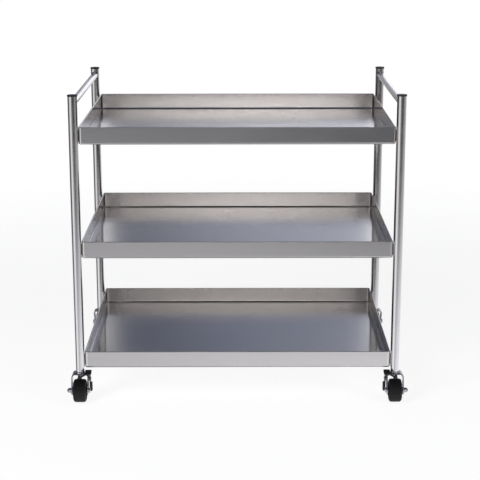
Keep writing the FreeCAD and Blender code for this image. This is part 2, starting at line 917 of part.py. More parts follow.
# Axles: a bolt through both legs, with a washer and a collared nut at its end
def make_axle_bolt(label, side_x, side_y, nut_side):
    body = new_body(label)
    reach = leg_outside + size("washer_thickness") + size("axle_nut_height")
    reach = reach + size("nut_collar_height") + size("axle_end")
    start, end = sorted_span(-leg_outside, reach, nut_side)
    slab(body, f"{label}_shank", "YZ_Plane", start, end, lambda sketch: add_circle(sketch, axle_radius))

    def head(sketch):
        add_hexagon(sketch, size("axle_head_width"))

    start, end = sorted_span(leg_outside, leg_outside + size("axle_head_height"), -nut_side)
    slab(body, f"{label}_head", "YZ_Plane", start, end, head)
    faces = ((-(leg_outside + size("axle_head_height")) * nut_side, nut_side),)
    chamfer_hexagon(body, label, size("axle_head_width"), "H_Axis", faces)
    place_wheel(body, side_x, side_y)
    keep(body)


def make_axle_nut(label, side_x, side_y, nut_side):
    body = new_body(label)
    bore = axle_radius + size("seat_fit")
    nut_start = leg_outside + size("washer_thickness")
    nut_end = nut_start + size("axle_nut_height")

    def bored(outside):
        def draw(sketch):
            add_circle(sketch, outside / 2)
            add_circle(sketch, bore)
        return draw

    def nut(sketch):
        add_hexagon(sketch, size("axle_head_width"))
        add_circle(sketch, bore)

    start, end = sorted_span(leg_outside, nut_start, nut_side)
    slab(body, f"{label}_washer", "YZ_Plane", start, end, bored(size("washer_diameter")))
    start, end = sorted_span(nut_start, nut_end, nut_side)
    slab(body, f"{label}_nut", "YZ_Plane", start, end, nut)
    faces = ((nut_start * nut_side, nut_side), (nut_end * nut_side, -nut_side))
    chamfer_hexagon(body, label, size("axle_head_width"), "H_Axis", faces)
    start, end = sorted_span(nut_end, nut_end + size("nut_collar_height"), nut_side)
    slab(body, f"{label}_collar", "YZ_Plane", start, end, bored(size("nut_collar_diameter")))
    place_wheel(body, side_x, side_y)
    keep(body)


# Brakes: a bent lever on a pin in the inner leg. Its pedal lies over the crown, its
# tongue reaches down ahead of the crown to a shoe above the tread, and its tail
# carries a moulded release pad.
def make_brake_pin(label, side_x, side_y, side):
    body = new_body(label)
    radius = size("brake_pin_diameter") / 2
    collar_end = leg_outside + size("brake_gap") - size("lever_clearance")
    head_start = leg_outside + size("brake_gap") + size("lever_thickness") + size("lever_clearance")
    head_end = head_start + size("brake_pin_head_height")
    back, up = size("brake_pivot_back"), size("brake_pivot_height")

    def disc(outside):
        return lambda sketch: add_circle(sketch, outside, back, up)

    for part, inner, outer, outside in (
        ("shank", leg_inside, head_end, radius),
        ("collar", leg_outside, collar_end, size("brake_pin_head") / 2),
        ("head", head_start, head_end, size("brake_pin_head") / 2),
    ):
        start, end = sorted_span(inner, outer, side)
        slab(body, f"{label}_{part}", "YZ_Plane", start, end, disc(outside))
    place_castor(body, side_x, side_y)
    keep(body)


def make_brake_lever(label, side_x, side_y, side):
    body = new_body(label)
    back, up = size("brake_pivot_back"), size("brake_pivot_height")
    boss = size("lever_boss_diameter") / 2
    metal = size("lever_thickness")
    arm_inner = leg_outside + size("brake_gap")
    arm_outer = arm_inner + metal
    tail = size("tail_width") / 2
    tread_top = wheel_radius * 2
    tongue_level = tread_top + size("shoe_lift") + size("shoe_height")

    def arm(sketch):
        add_outline(sketch, [
            (back - boss, up),
            (-size("pedal_front"), size("pedal_front_height")),
            (-size("pedal_rear"), size("pedal_rear_height")),
            (back + boss, up),
            (tail, size("tail_bottom")),
            (-tail, size("tail_bottom")),
        ])

    def pedal(sketch):
        add_outline(sketch, [
            (-size("pedal_front"), size("pedal_front_height") - metal),
            (-size("pedal_rear"), size("pedal_rear_height") - metal),
            (-size("pedal_rear"), size("pedal_rear_height")),
            (-size("pedal_front"), size("pedal_front_height")),
        ])

    def ribs(sketch):
        slope = size("pedal_rear_height") - size("pedal_front_height")
        run = size("pedal_front") - size("pedal_rear")
        lean = math.atan2(slope.value, run.value)
        along = (math.cos(lean), math.sin(lean))
        half = size("pedal_rib_width") / 2
        count = DIMENSIONS["pedal_ribs"]
        for number in range(count):
            share = (number + 0.5) / count
            middle = (run * share - size("pedal_front"), slope * share + size("pedal_front_height"))
            corners = []
            rise = size("pedal_rib_height")
            for ahead, above in ((-half, -half), (half, -half), (half, rise), (-half, rise)):
                y = middle[0] + ahead * along[0] - above * along[1]
                z = middle[1] + ahead * along[1] + above * along[0]
                corners.append((y, z))
            add_outline(sketch, corners)

    def tongue(sketch):
        high = size("pedal_front_height")
        run = size("tongue_run")
        corners = [
            (size("pedal_inner") + metal, high - metal),
            (size("pedal_inner") + metal, high),
            (size("pedal_inner"), high),
            (run - metal / 2, tongue_level + metal),
            (-run, tongue_level + metal),
            (-run, tongue_level),
            (run, tongue_level),
        ]
        add_outline(sketch, [(x * side, z) for x, z in corners])

    def pin_hole(sketch):
        add_circle(sketch, size("brake_pin_diameter") / 2 + size("running_fit"), back, up)

    def shoe(sketch):
        half = size("shoe_length") / 2
        add_rectangle(sketch, -half, half, tongue_level - size("shoe_height"), tongue_level)

    def boss_corner(edge):
        return runs_along(edge, 0) and near(edge.BoundBox.ZMax, up)

    def tail_corner(edge):
        return runs_along(edge, 0) and near(edge.BoundBox.ZMax, size("tail_bottom"))

    def pedal_corner(edge):
        return runs_along(edge, 2) and near(edge.BoundBox.XMax, size("pedal_outer") * side)

    arm_start, arm_end = sorted_span(arm_inner, arm_outer, side)
    slab(body, f"{label}_arm", "YZ_Plane", arm_start, arm_end, arm)
    dress(body, "Fillet", size("lever_boss_round"), boss_corner)
    dress(body, "Fillet", size("lever_end_round"), tail_corner)
    start, end = sorted_span(size("pedal_inner"), size("pedal_outer"), side)
    slab(body, f"{label}_pedal", "YZ_Plane", start, end, pedal)
    dress(body, "Fillet", size("lever_end_round"), pedal_corner)
    rib_ends = (size("pedal_inner") + metal, size("pedal_outer") - size("lever_end_round"))
    start, end = sorted_span(*rib_ends, side)
    slab(body, f"{label}_ribs", "YZ_Plane", start, end, ribs)
    front = size("tongue_front")
    slab(body, f"{label}_tongue", "XZ_Plane", front - size("tongue_width"), front, tongue)
    slab(body, f"{label}_shoe", "XZ_Plane", front - size("shoe_width"), front, shoe)
    slab(body, f"{label}_pin_hole", "YZ_Plane", arm_start, arm_end, pin_hole, "Pocket")
    place_castor(body, side_x, side_y)
    keep(body)


def make_brake_pad(label, side_x, side_y, side):
    body = new_body(label)
    face = leg_outside + size("brake_gap") + size("lever_thickness")
    half = size("pad_width") / 2
    low = size("tail_bottom") - size("lever_thickness") / 2
    start, end = sorted_span(face, face + size("pad_thickness"), side)

    def block(sketch):
        add_rectangle(sketch, -half, half, low, low + size("pad_height"))

    slab(body, f"{label}_block", "YZ_Plane", start, end, block)
    outer = (face + size("pad_thickness")) * side

    def outer_edge(edge):
        return near(edge.BoundBox.XMin, outer) and near(edge.BoundBox.XMax, outer)

    dress(body, "Fillet", size("pad_round"), outer_edge)
    place_castor(body, side_x, side_y)
    keep(body)


for corner, (side_x, side_y) in CORNERS.items():
    make_post(f"post_{corner}", side_x, side_y)
    make_post_cap(f"post_cap_{corner}", side_x, side_y)
for side_name, side_x in (("left", -1), ("right", 1)):
    make_handle(f"handle_{side_name}", side_x)
for level, tray in enumerate(TRAY_NAMES):
    make_tray(f"tray_{tray}", level)
    make_stiffener(f"stiffener_{tray}", level)
make_weld_beads("tray_weld_beads")

inserts = [make_stem_insert(f"insert_{corner}", *sides) for corner, sides in CORNERS.items()]
group("stem_inserts", inserts)
nuts = [make_kingpin_nut(f"kingpin_nut_{corner}", *sides) for corner, sides in CORNERS.items()]
group("kingpin_nuts", nuts)

for corner, (side_x, side_y) in CORNERS.items():
    # the castor's own side on which the axle nut lies: outwards at the front, inwards at the rear
    nut_side = side_x
    has_brake = side_y < 0
    make_castor_stem(f"castor_stem_{corner}", side_x, side_y)
    make_upper_race(f"upper_race_{corner}", side_x, side_y)
    make_fork(f"fork_{corner}", side_x, side_y, -nut_side if has_brake else 0)
    make_ball_ring(f"ball_ring_{corner}", side_x, side_y)
    make_tyre(f"tyre_{corner}", side_x, side_y)
    make_hub(f"hub_{corner}", side_x, side_y)
    make_axle_bolt(f"axle_bolt_{corner}", side_x, side_y, nut_side)
    make_axle_nut(f"axle_nut_{corner}", side_x, side_y, nut_side)
    if has_brake:
        make_brake_pin(f"brake_pin_{corner}", side_x, side_y, -nut_side)
        make_brake_lever(f"brake_lever_{corner}", side_x, side_y, -nut_side)
        make_brake_pad(f"brake_pad_{corner}", side_x, side_y, -nut_side)

document.recompute()
for item in document.Objects:
    if "Invalid" in item.State or "Error" in item.State:
        raise RuntimeError(f"{item.Label} did not recompute: {item.State}")
for label, item in nodes.items():
    if item.Shape.isNull() or not item.Shape.isValid():
        raise RuntimeError(f"{label} has no valid shape")

os.makedirs("parts", exist_ok=True)
for label, item in nodes.items():
    item.Shape.exportStep(f"parts/{label}.step")
print(f"{len(nodes)} sub-parts written")
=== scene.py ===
# %% [markdown]
# A tray trolley in stainless steel
#
# The trolley comes from its CAD model as a frame: every solid is already in place, in
# metres, with Z up and the trolley's front towards -Y. This lesson gives each part the
# finish of the real one, adds the few forms that the solids leave out, such as the
# ripples of a weld, and then sets up a small photo studio around it.

# %% Load the frame
import json
import math
import bmesh
import bpy
from mathutils import Matrix, Vector


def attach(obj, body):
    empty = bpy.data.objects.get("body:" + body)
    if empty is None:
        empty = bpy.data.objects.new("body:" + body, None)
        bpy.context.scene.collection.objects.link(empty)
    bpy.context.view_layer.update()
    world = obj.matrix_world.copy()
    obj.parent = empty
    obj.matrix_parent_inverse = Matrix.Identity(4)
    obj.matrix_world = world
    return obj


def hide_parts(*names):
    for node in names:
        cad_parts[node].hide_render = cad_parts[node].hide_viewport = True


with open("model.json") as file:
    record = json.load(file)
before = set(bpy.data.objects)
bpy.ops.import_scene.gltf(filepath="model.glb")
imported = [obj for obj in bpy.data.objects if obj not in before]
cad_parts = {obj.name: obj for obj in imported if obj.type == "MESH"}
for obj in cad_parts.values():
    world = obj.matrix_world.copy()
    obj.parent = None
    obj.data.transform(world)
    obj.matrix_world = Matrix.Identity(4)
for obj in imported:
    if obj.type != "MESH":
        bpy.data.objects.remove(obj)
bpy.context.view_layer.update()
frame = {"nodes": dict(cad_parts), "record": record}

nodes = frame["nodes"]

# %% [markdown]
# A few helpers serve the whole lesson. Sizes are written in millimetres and turned to
# metres by MM. Colours are written as sRGB hex values, as a colour picker shows them,
# and turned to the linear values that a shader works with. Another helper adds one shader
# node, sets it and links it in a single call. Two shorter ones rest on it, for sums and for
# blends of two colours, and the last starts an empty material.

# %% Small helpers
MM = 0.001


def linear(hex_colour):
    """A colour such as "#b8b6b4" as linear red, green, blue and alpha."""
    channels = [int(hex_colour[place:place + 2], 16) / 255 for place in (1, 3, 5)]
    curved = [c / 12.92 if c <= 0.04045 else ((c + 0.055) / 1.055) ** 2.4 for c in channels]
    return (*curved, 1.0)


def add(tree, kind, inputs=None, **settings):
    """Adds a node. Each input is a value, an output, or a node, which gives its first output."""
    node = tree.nodes.new("ShaderNode" + kind)
    for name, value in settings.items():
        setattr(node, name, value)
    for socket, value in (inputs or {}).items():
        if isinstance(value, bpy.types.Node):
            value = next(output for output in value.outputs if output.enabled)
        if isinstance(value, bpy.types.NodeSocket):
            tree.links.new(value, node.inputs[socket])
        else:
            node.inputs[socket].default_value = value
    return node


def math_node(tree, operation, first, second=0.5):
    """A sum, a product or the like, of values or of what other nodes give."""
    return add(tree, "Math", {0: first, 1: second}, operation=operation)


def blend_colours(tree, share, first, second):
    """A colour between first and second, either of them a hex value or a node."""
    ends = [linear(end) if isinstance(end, str) else end for end in (first, second)]
    return add(tree, "Mix", {"Factor": share, "A": ends[0], "B": ends[1]}, data_type="RGBA")


def new_material(name):
    """An empty material: its tree and its output node."""
    material = bpy.data.materials.new(name)
    material.use_nodes = True
    material.node_tree.nodes.clear()
    output = material.node_tree.nodes.new("ShaderNodeOutputMaterial")
    return material, material.node_tree, output


print("helpers ready")

# %% [markdown]
# The trays are folded from stainless sheet with a fine brushed grain. A belt has drawn
# parallel scratches along the sheet's length before it was folded. They spread every
# reflection across the grain and leave it sharp along the grain, and that is why the
# floors show soft upright streaks. The shader does this with anisotropy. Its tangent is
# the direction in which highlights stretch, so it has to lie across the grain: along Y
# on the floor and on the side walls, and upright on the front and rear walls.
#
# Real scratches are about 0.1 mm apart, far too fine for this picture, so they are drawn
# about 1.5 mm apart, and a second, broader set gives the slow changes along the sheet.

# %% Brushed stainless sheet
SHEET_COLOUR = "#d6d2d0"
SCRATCH_SPACING, SCRATCH_LENGTH = 1.5 * MM, 120 * MM
CLOUD_SPACING = 90 * MM
SHEET_ROUGHNESS, SHEET_CLOUDS = (0.14, 0.20), 0.02


def stretched_noise(tree, coordinates, spacing, detail=2.0):
    """Noise whose grains have these sizes along X, Y and Z."""
    scale = [1 / size for size in spacing]
    mapping = add(tree, "Mapping", {"Vector": coordinates, "Scale": scale})
    return add(tree, "TexNoise", {"Vector": mapping, "Scale": 1.0, "Detail": detail})


def clouded_roughness(tree, grain, between, clouds, swing):
    """A roughness that follows the grain and rises and falls a little with the clouds."""
    fine = add(tree, "MapRange", {"Value": grain, "To Min": between[0], "To Max": between[1]})
    broad = add(tree, "MapRange", {"Value": clouds, "To Min": -swing, "To Max": swing})
    return math_node(tree, "ADD", fine, broad)


def brushed_sheet():
    """Sheet whose grain runs along X, and upright on the side walls."""
    material, tree, output = new_material("brushed stainless sheet")
    place = add(tree, "TexCoord").outputs["Object"]
    facing = add(tree, "SeparateXYZ", {0: add(tree, "NewGeometry").outputs["Normal"]})
    on_side = math_node(tree, "ABSOLUTE", facing.outputs["X"])
    on_front = math_node(tree, "ABSOLUTE", facing.outputs["Y"])

    fine, long = SCRATCH_SPACING, SCRATCH_LENGTH
    level_grain = stretched_noise(tree, place, (long, fine, fine))
    upright_grain = stretched_noise(tree, place, (fine, fine, long))
    grain = add(tree, "Mix", {"Factor": on_side, "A": level_grain, "B": upright_grain})
    clouds = stretched_noise(tree, place, (CLOUD_SPACING * 3, CLOUD_SPACING, CLOUD_SPACING))

    across_floor = math_node(tree, "SUBTRACT", 1.0, on_front)
    tangent = add(tree, "CombineXYZ", {"X": 0.0, "Y": across_floor, "Z": on_front})
    bump = add(tree, "Bump", {"Height": grain, "Strength": 0.12, "Distance": 0.05 * MM})
    steel = add(tree, "BsdfPrincipled", {
        "Base Color": linear(SHEET_COLOUR),
        "Metallic": 1.0,
        "Roughness": clouded_roughness(tree, grain, SHEET_ROUGHNESS, clouds, SHEET_CLOUDS),
        "Anisotropic": 0.6,
        "Tangent": tangent,
        "Normal": bump,
    })
    tree.links.new(steel.outputs[0], output.inputs["Surface"])
    return material


sheet_steel = brushed_sheet()
print("made", sheet_steel.name)

# %% [markdown]
# The posts and handles are stainless tube, polished on a belt that runs round them. The
# rings it leaves spread reflections along the tube only, so a post shows crisp upright
# bands of light and dark. The tangent lies along the tube: upright on a post and along
# Y on a handle.

# %% Polished stainless tube
TUBE_COLOUR = "#d4d2d2"
RING_SPACING, RING_LENGTH, SMEAR_SIZE = 1.0 * MM, 60 * MM, 40 * MM
TUBE_ROUGHNESS, TUBE_SMEARS = (0.12, 0.18), 0.03


def polished_tube(name, axis):
    """Tube that lies along an axis: 0 for X, 1 for Y, 2 for Z."""
    material, tree, output = new_material(name)
    place = add(tree, "TexCoord").outputs["Object"]
    spacing = [RING_LENGTH] * 3
    spacing[axis] = RING_SPACING
    rings = stretched_noise(tree, place, spacing)
    smears = stretched_noise(tree, place, (SMEAR_SIZE, SMEAR_SIZE, SMEAR_SIZE))
    along = [0.0, 0.0, 0.0]
    along[axis] = 1.0
    bump = add(tree, "Bump", {"Height": rings, "Strength": 0.08, "Distance": 0.03 * MM})
    steel = add(tree, "BsdfPrincipled", {
        "Base Color": linear(TUBE_COLOUR),
        "Metallic": 1.0,
        "Roughness": clouded_roughness(tree, rings, TUBE_ROUGHNESS, smears, TUBE_SMEARS),
        "Anisotropic": 0.7,
        "Tangent": add(tree, "CombineXYZ", dict(zip("XYZ", along))),
        "Normal": bump,
    })
    tree.links.new(steel.outputs[0], output.inputs["Surface"])
    return material


post_steel = polished_tube("polished stainless post", 2)
handle_steel = polished_tube("polished stainless handle", 1)
print("made", post_steel.name, "and", handle_steel.name)

# %% [markdown]
# The small parts need plainer finishes, of two kinds. Moulded polypropylene and rubber are
# not metals: their colour is their own, and a pebbled skin, copied from a spark-eroded mould,
# breaks up their highlights. Plated and ground steel has the colour of its reflections, and
# a faint mottle in its roughness keeps it from looking like a mirror. One function makes
# each kind, because within a kind only colours, roughness and grain size differ.

# %% Two kinds of finish
PATCH_TO_GRAIN = 25


def moulded(name, colours, smooth, rough, grain, depth):
    """A non-metal with a pebbled skin; its roughness lies between two values."""
    material, tree, output = new_material(name)
    place = add(tree, "TexCoord").outputs["Object"]
    patch = grain * PATCH_TO_GRAIN
    skin = stretched_noise(tree, place, (grain, grain, grain), detail=4.0)
    patches = stretched_noise(tree, place, (patch, patch, patch))
    plastic = add(tree, "BsdfPrincipled", {
        "Base Color": blend_colours(tree, patches, *colours),
        "Roughness": add(tree, "MapRange", {"Value": patches, "To Min": smooth, "To Max": rough}),
        "Normal": add(tree, "Bump", {"Height": skin, "Strength": 0.35, "Distance": depth}),
    })
    tree.links.new(plastic.outputs[0], output.inputs["Surface"])
    return material


def plated(name, colours, smooth, rough, grain):
    """A metal coat with a faint mottle."""
    material, tree, output = new_material(name)
    place = add(tree, "TexCoord").outputs["Object"]
    mottle = stretched_noise(tree, place, (grain, grain, grain), detail=3.0)
    metal = add(tree, "BsdfPrincipled", {
        "Base Color": blend_colours(tree, mottle, *colours),
        "Metallic": 1.0,
        "Roughness": add(tree, "MapRange", {"Value": mottle, "To Min": smooth, "To Max": rough}),
        "Normal": add(tree, "Bump", {"Height": mottle, "Strength": 0.1, "Distance": 0.05 * MM}),
    })
    tree.links.new(metal.outputs[0], output.inputs["Surface"])
    return material


print("two kinds of finish ready")

# %% [markdown]
# The end caps, hubs, release pads and the inserts in the posts are moulded polypropylene,
# matt and near black. The tyres are blacker and duller, because rubber is full of soot and
# scuffed by the floor. The brake lever is coated, with the smoothest skin of the dark parts.
# The castors' pressings and bolts are zinc plated, bright with a cool tint, while the ball
# rings are ground and shine most. Cleaned welds are duller and warmer than the sheet.

# %% Finishes of the small parts
PEBBLE = 0.04 * MM
cap_plastic = moulded(
    "moulded end cap", ("#1b1b1b", "#242424"), 0.38, 0.5, grain=0.6 * MM, depth=PEBBLE)
hub_plastic = moulded(
    "moulded wheel hub", ("#161616", "#1e1e1e"), 0.4, 0.55, grain=0.6 * MM, depth=PEBBLE)
pad_plastic = moulded(
    "moulded release pad", ("#141414", "#1c1c1c"), 0.4, 0.5, grain=0.5 * MM, depth=PEBBLE)
insert_plastic = moulded(
    "moulded post insert", ("#202020", "#2a2a2a"), 0.5, 0.6, grain=0.6 * MM, depth=PEBBLE)
wheel_rubber = moulded(
    "wheel rubber", ("#0a0a0a", "#121111"), 0.55, 0.75, grain=0.9 * MM, depth=0.08 * MM)
lever_coat = moulded(
    "black coated lever", ("#181818", "#202020"), 0.3, 0.42, grain=0.8 * MM, depth=0.03 * MM)
zinc = plated("bright zinc plate", ("#b9bbbf", "#cfd0d2"), 0.18, 0.34, grain=3.0 * MM)
bearing_steel = plated("ground bearing steel", ("#c4c4c6", "#d4d4d6"), 0.1, 0.18, grain=1.0 * MM)
weld_steel = plated("cleaned weld", ("#8f8a84", "#b9b5ae"), 0.32, 0.5, grain=1.6 * MM)
print("made nine finishes for the small parts")

# %% [markdown]
# Each solid now gets its finish. The record names a material slot for every node, so a
# table from slot to finish dresses all of them; only the handles need their own line,
# because their tube lies along Y.

# %% Dress the solids
FINISHES = {
    "stainless_tube": post_steel,
    "stainless_sheet": sheet_steel,
    "weld": weld_steel,
    "cap_plastic": cap_plastic,
    "insert_plastic": insert_plastic,
    "plated_steel": zinc,
    "bearing_steel": bearing_steel,
    "tyre_rubber": wheel_rubber,
    "hub_plastic": hub_plastic,
    "lever_steel": lever_coat,
    "pad_plastic": pad_plastic,
}


def dress(item, material):
    item.data.materials.clear()
    item.data.materials.append(material)


for part in frame["record"]["subparts"]:
    dress(nodes[part["node"]], FINISHES[part["material_slot"]])
for side in ("left", "right"):
    dress(nodes[f"handle_{side}"], handle_steel)
print("dressed", len(nodes), "nodes")

# %% [markdown]
# The solids leave out what is too fine for them, and the next cells add it. Every shape is
# drawn in millimetres in the trolley's own frame. This helper turns it into a piece: it
# scales it to metres, gives it a finish and lets it ride on the body that carries it.

# %% From shape to piece
def make_piece(name, shape, finish, body, stands_for=()):
    bmesh.ops.scale(shape, vec=(MM, MM, MM), verts=shape.verts)
    mesh = bpy.data.meshes.new(name)
    shape.to_mesh(mesh)
    shape.free()
    mesh.shade_smooth()
    piece = bpy.data.objects.new(name, mesh)
    bpy.context.scene.collection.objects.link(piece)
    dress(piece, finish)
    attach(piece, body)
    if stands_for:
        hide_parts(*stands_for)
    print(name, len(mesh.polygons), "faces")
    return piece


MERGE_DISTANCE = 0.001
POST_X, POST_Y, POST_RADIUS = 437.3, 300.0, 12.7
TRAY_UNDERSIDES = (93.0, 407.0, 721.0)
# each corner's side of the trolley, in X and in Y
CORNERS = {
    "front_left": (-1, -1), "front_right": (1, -1), "rear_left": (-1, 1), "rear_right": (1, 1),
}

# %% [markdown]
# A short upright weld holds each tray to each post. A welder lays such a run drop by drop,
# and every drop leaves a ripple about a millimetre and a half from the last. The solids
# have plain wedges there. One bead is made from a cylinder that is cut into rings, whose
# rings are then swollen and drawn in by turns, and copies of it go into all the wedges.
# A rear post stands beside the flat of a tray's side, so it is welded on both sides; a
# front post stands at the tray's rounded corner and is welded behind it only.

# %% One rippled bead
BEAD_LENGTH, BEAD_RADIUS, BEAD_SIDES = 31.0, 1.9, 12
RIPPLE_PITCH, RIPPLE_DEPTH = 1.55, 0.14
RING_CUTS = 59
END_TAPER = 0.35


def one_bead():
    """A rippled bead at the origin, upright and closed at both ends."""
    shape = bmesh.new()
    bmesh.ops.create_cone(
        shape, cap_ends=True, segments=BEAD_SIDES, radius1=BEAD_RADIUS, radius2=BEAD_RADIUS,
        depth=BEAD_LENGTH,
    )
    upright = [edge for edge in shape.edges if abs(edge.verts[0].co.z - edge.verts[1].co.z) > 1]
    bmesh.ops.subdivide_edges(shape, edges=upright, cuts=RING_CUTS)
    for vert in shape.verts:
        ripple = abs(math.sin(math.pi * vert.co.z / RIPPLE_PITCH))
        swell = 1 - RIPPLE_DEPTH * (1 - ripple)
        to_end = BEAD_LENGTH / 2 - abs(vert.co.z)
        if to_end < BEAD_RADIUS:
            swell *= max(END_TAPER, math.sqrt(1 - (1 - to_end / BEAD_RADIUS) ** 2))
        vert.co.x *= swell
        vert.co.y *= swell
    return shape


beads = one_bead()
print("one bead has", len(beads.faces), "faces")

# %% [markdown]
# Copies of the bead now go beside every post at every tray, and the first one, which still
# stands at the origin, is deleted.

# %% Beads at every post
BEAD_X, BEAD_BESIDE_POST, BEAD_ABOVE_UNDERSIDE = 425.3, 5.5, 23.5
BEAD_SIDES_OF_POST = {-1: (1,), 1: (1, -1)}

model = list(beads.verts) + list(beads.edges) + list(beads.faces)
for side_x, side_y in CORNERS.values():
    for underside in TRAY_UNDERSIDES:
        for bead_side in BEAD_SIDES_OF_POST[side_y]:
            copy = bmesh.ops.duplicate(beads, geom=model)["geom"]
            verts = [item for item in copy if isinstance(item, bmesh.types.BMVert)]
            y = POST_Y * side_y + BEAD_BESIDE_POST * bead_side
            place = (BEAD_X * side_x, y, underside + BEAD_ABOVE_UNDERSIDE)
            bmesh.ops.translate(beads, vec=place, verts=verts)
first = [item for item in model if isinstance(item, bmesh.types.BMVert)]
bmesh.ops.delete(beads, geom=first, context="VERTS")
make_piece("weld_ripples", beads, weld_steel, "frame", ["tray_weld_beads"])

# %% [markdown]
# The handles are tubes whose ends are coped, which means cut to the round of the post, and
# welded all round. Seen from the side that seam is a saddle: its top and bottom lie on the
# post's middle line and its flanks reach round the post. The ring is spun from a small
# circle, and each of its points is then moved along the handle onto the post's surface.

# %% Welded seams of the handles
HANDLE_RADIUS, HANDLE_Z = 9.5, 832.0
SEAM_RADIUS, SEAM_SIDES = 1.3, 8
SEAM_RIPPLES, STEPS_PER_RIPPLE, SEAM_RIPPLE_DEPTH = 38, 4, 0.18


def saddle_seam(side_x, side_y):
    """A rippled ring round the handle's end, bent to the surface of one post."""
    shape = bmesh.new()
    place = Matrix.Translation((HANDLE_RADIUS, 0, 0))
    bmesh.ops.create_circle(shape, segments=SEAM_SIDES, radius=SEAM_RADIUS, matrix=place)
    bmesh.ops.spin(
        shape, geom=list(shape.verts) + list(shape.edges), cent=(0, 0, 0), axis=(0, 1, 0),
        angle=math.tau, steps=SEAM_RIPPLES * STEPS_PER_RIPPLE, use_merge=True,
    )
    bmesh.ops.remove_doubles(shape, verts=shape.verts, dist=MERGE_DISTANCE)
    bmesh.ops.recalc_face_normals(shape, faces=shape.faces)
    shape.normal_update()
    for vert in shape.verts:
        turn = math.atan2(vert.co.z, vert.co.x)
        vert.co += vert.normal * SEAM_RIPPLE_DEPTH * math.sin(turn * SEAM_RIPPLES)
    for vert in shape.verts:
        reach = math.sqrt(POST_RADIUS ** 2 - vert.co.x ** 2)
        vert.co.y += (POST_Y - reach) * side_y
    bmesh.ops.translate(shape, vec=(POST_X * side_x, 0, HANDLE_Z), verts=shape.verts)
    return shape


for corner, (side_x, side_y) in CORNERS.items():
    seam = saddle_seam(side_x, side_y)
    make_piece(f"handle_seam_{corner}", seam, weld_steel, "frame")

# %% [markdown]
# Under each tray runs a hat-shaped stiffener, and spot welds hold its two flanges to the
# sheet. The electrode leaves a round dimple with a raised rim. A low cone gives the rim,
# and its face is inset and pushed in for the dimple. They sit about 60 mm apart.

# %% Spot weld dimples
SPOTS_PER_FLANGE, SPOT_PITCH = 12, 60.0
SPOT_RADIUS, SPOT_FOOT_RADIUS, SPOT_RISE, SPOT_SIDES = 4.0, 3.4, 0.25, 16
RIM_WIDTH, DIMPLE_SLOPE, DIMPLE_DEPTH = 0.9, 0.8, 0.15
FLANGE_THICKNESS, FLANGE_MIDDLE, TRAY_MIDDLE = 1.2, 33.0, 17.0
DOWNWARD = -0.9

spots = bmesh.new()
for underside in TRAY_UNDERSIDES:
    for flange_side in (-1, 1):
        for count in range(SPOTS_PER_FLANGE):
            x = (count - (SPOTS_PER_FLANGE - 1) / 2) * SPOT_PITCH
            y = TRAY_MIDDLE + FLANGE_MIDDLE * flange_side
            bmesh.ops.create_cone(
                spots, cap_ends=True, segments=SPOT_SIDES, radius1=SPOT_FOOT_RADIUS,
                radius2=SPOT_RADIUS, depth=SPOT_RISE * 2,
                matrix=Matrix.Translation((x, y, underside - FLANGE_THICKNESS)),
            )
lower = [face for face in spots.faces if face.normal.z < DOWNWARD]
bmesh.ops.inset_individual(spots, faces=lower, thickness=RIM_WIDTH, depth=0.0)
bmesh.ops.inset_individual(spots, faces=lower, thickness=DIMPLE_SLOPE, depth=-DIMPLE_DEPTH)
make_piece("spot_welds", spots, weld_steel, "frame")

# %% [markdown]
# The tyres are moulded in two halves, and the seam between these leaves a fine ridge round
# the middle of the tread. The tread is also a little higher in the middle than at its
# shoulders. The section starts as a polygon, its two outer corners are rounded with a
# vertex bevel, and a full spin about the axle makes the tyre.

# %% Tyres
TYRE_HALF, TYRE_RADIUS, TYRE_STEPS = 17.5, 32.5, 96
CROWN_DROP, SEAM_RIDGE, RIDGE_HALF = 0.25, 0.12, 0.5
SIDE_RADIUS, BORE_HALF, BORE_RADIUS = 25.0, 15.5, 22.53
EDGE_ROUND, EDGE_SEGMENTS = 6.9, 8
WHEEL_TRAIL = 20.0


def tyre_shape():
    """A tyre at the origin, with its axle along X."""
    shape = bmesh.new()
    half = [
        (0.0, TYRE_RADIUS),
        (RIDGE_HALF, TYRE_RADIUS - SEAM_RIDGE),
        (TYRE_HALF, TYRE_RADIUS - SEAM_RIDGE - CROWN_DROP),
        (TYRE_HALF, SIDE_RADIUS),
        (BORE_HALF, BORE_RADIUS),
    ]
    section = half + [(-x, radius) for x, radius in reversed(half[1:])]
    corners = [shape.verts.new((x, 0, radius)) for x, radius in section]
    shape.faces.new(corners)
    bmesh.ops.bevel(
        shape, geom=[corners[2], corners[-2]], offset=EDGE_ROUND, segments=EDGE_SEGMENTS,
        profile=0.5, affect="VERTICES", material=-1,
    )
    bmesh.ops.delete(shape, geom=shape.faces, context="FACES_ONLY")
    bmesh.ops.spin(
        shape, geom=list(shape.verts) + list(shape.edges), cent=(0, 0, 0), axis=(1, 0, 0),
        angle=math.tau, steps=TYRE_STEPS, use_merge=True,
    )
    bmesh.ops.remove_doubles(shape, verts=shape.verts, dist=MERGE_DISTANCE)
    bmesh.ops.recalc_face_normals(shape, faces=shape.faces)
    return shape


for corner, (side_x, side_y) in CORNERS.items():
    tyre = tyre_shape()
    place = (POST_X * side_x, (POST_Y + WHEEL_TRAIL) * side_y, TYRE_RADIUS)
    bmesh.ops.translate(tyre, vec=place, verts=tyre.verts)
    make_piece(
        f"moulded_tyre_{corner}", tyre, wheel_rubber, f"wheel_{corner}",
        [f"tyre_{corner}"],
    )

# %% [markdown]
# The studio comes next. A product picture on white has a pale floor that fades into the
# background. Here the floor gives off most of that white by itself, and the light that
# falls on it adds the rest, so that the trolley's shadow stays on it, faint and soft.

# %% Floor
FLOOR_SIZE = 60.0
FLOOR_WHITE, FLOOR_MATT = "#ffffff", "#808080"
NEAR_GLOW, FAR_GLOW = 0.872, 0.988
NEAR_RADIUS, FAR_RADIUS = 0.8, 4.0


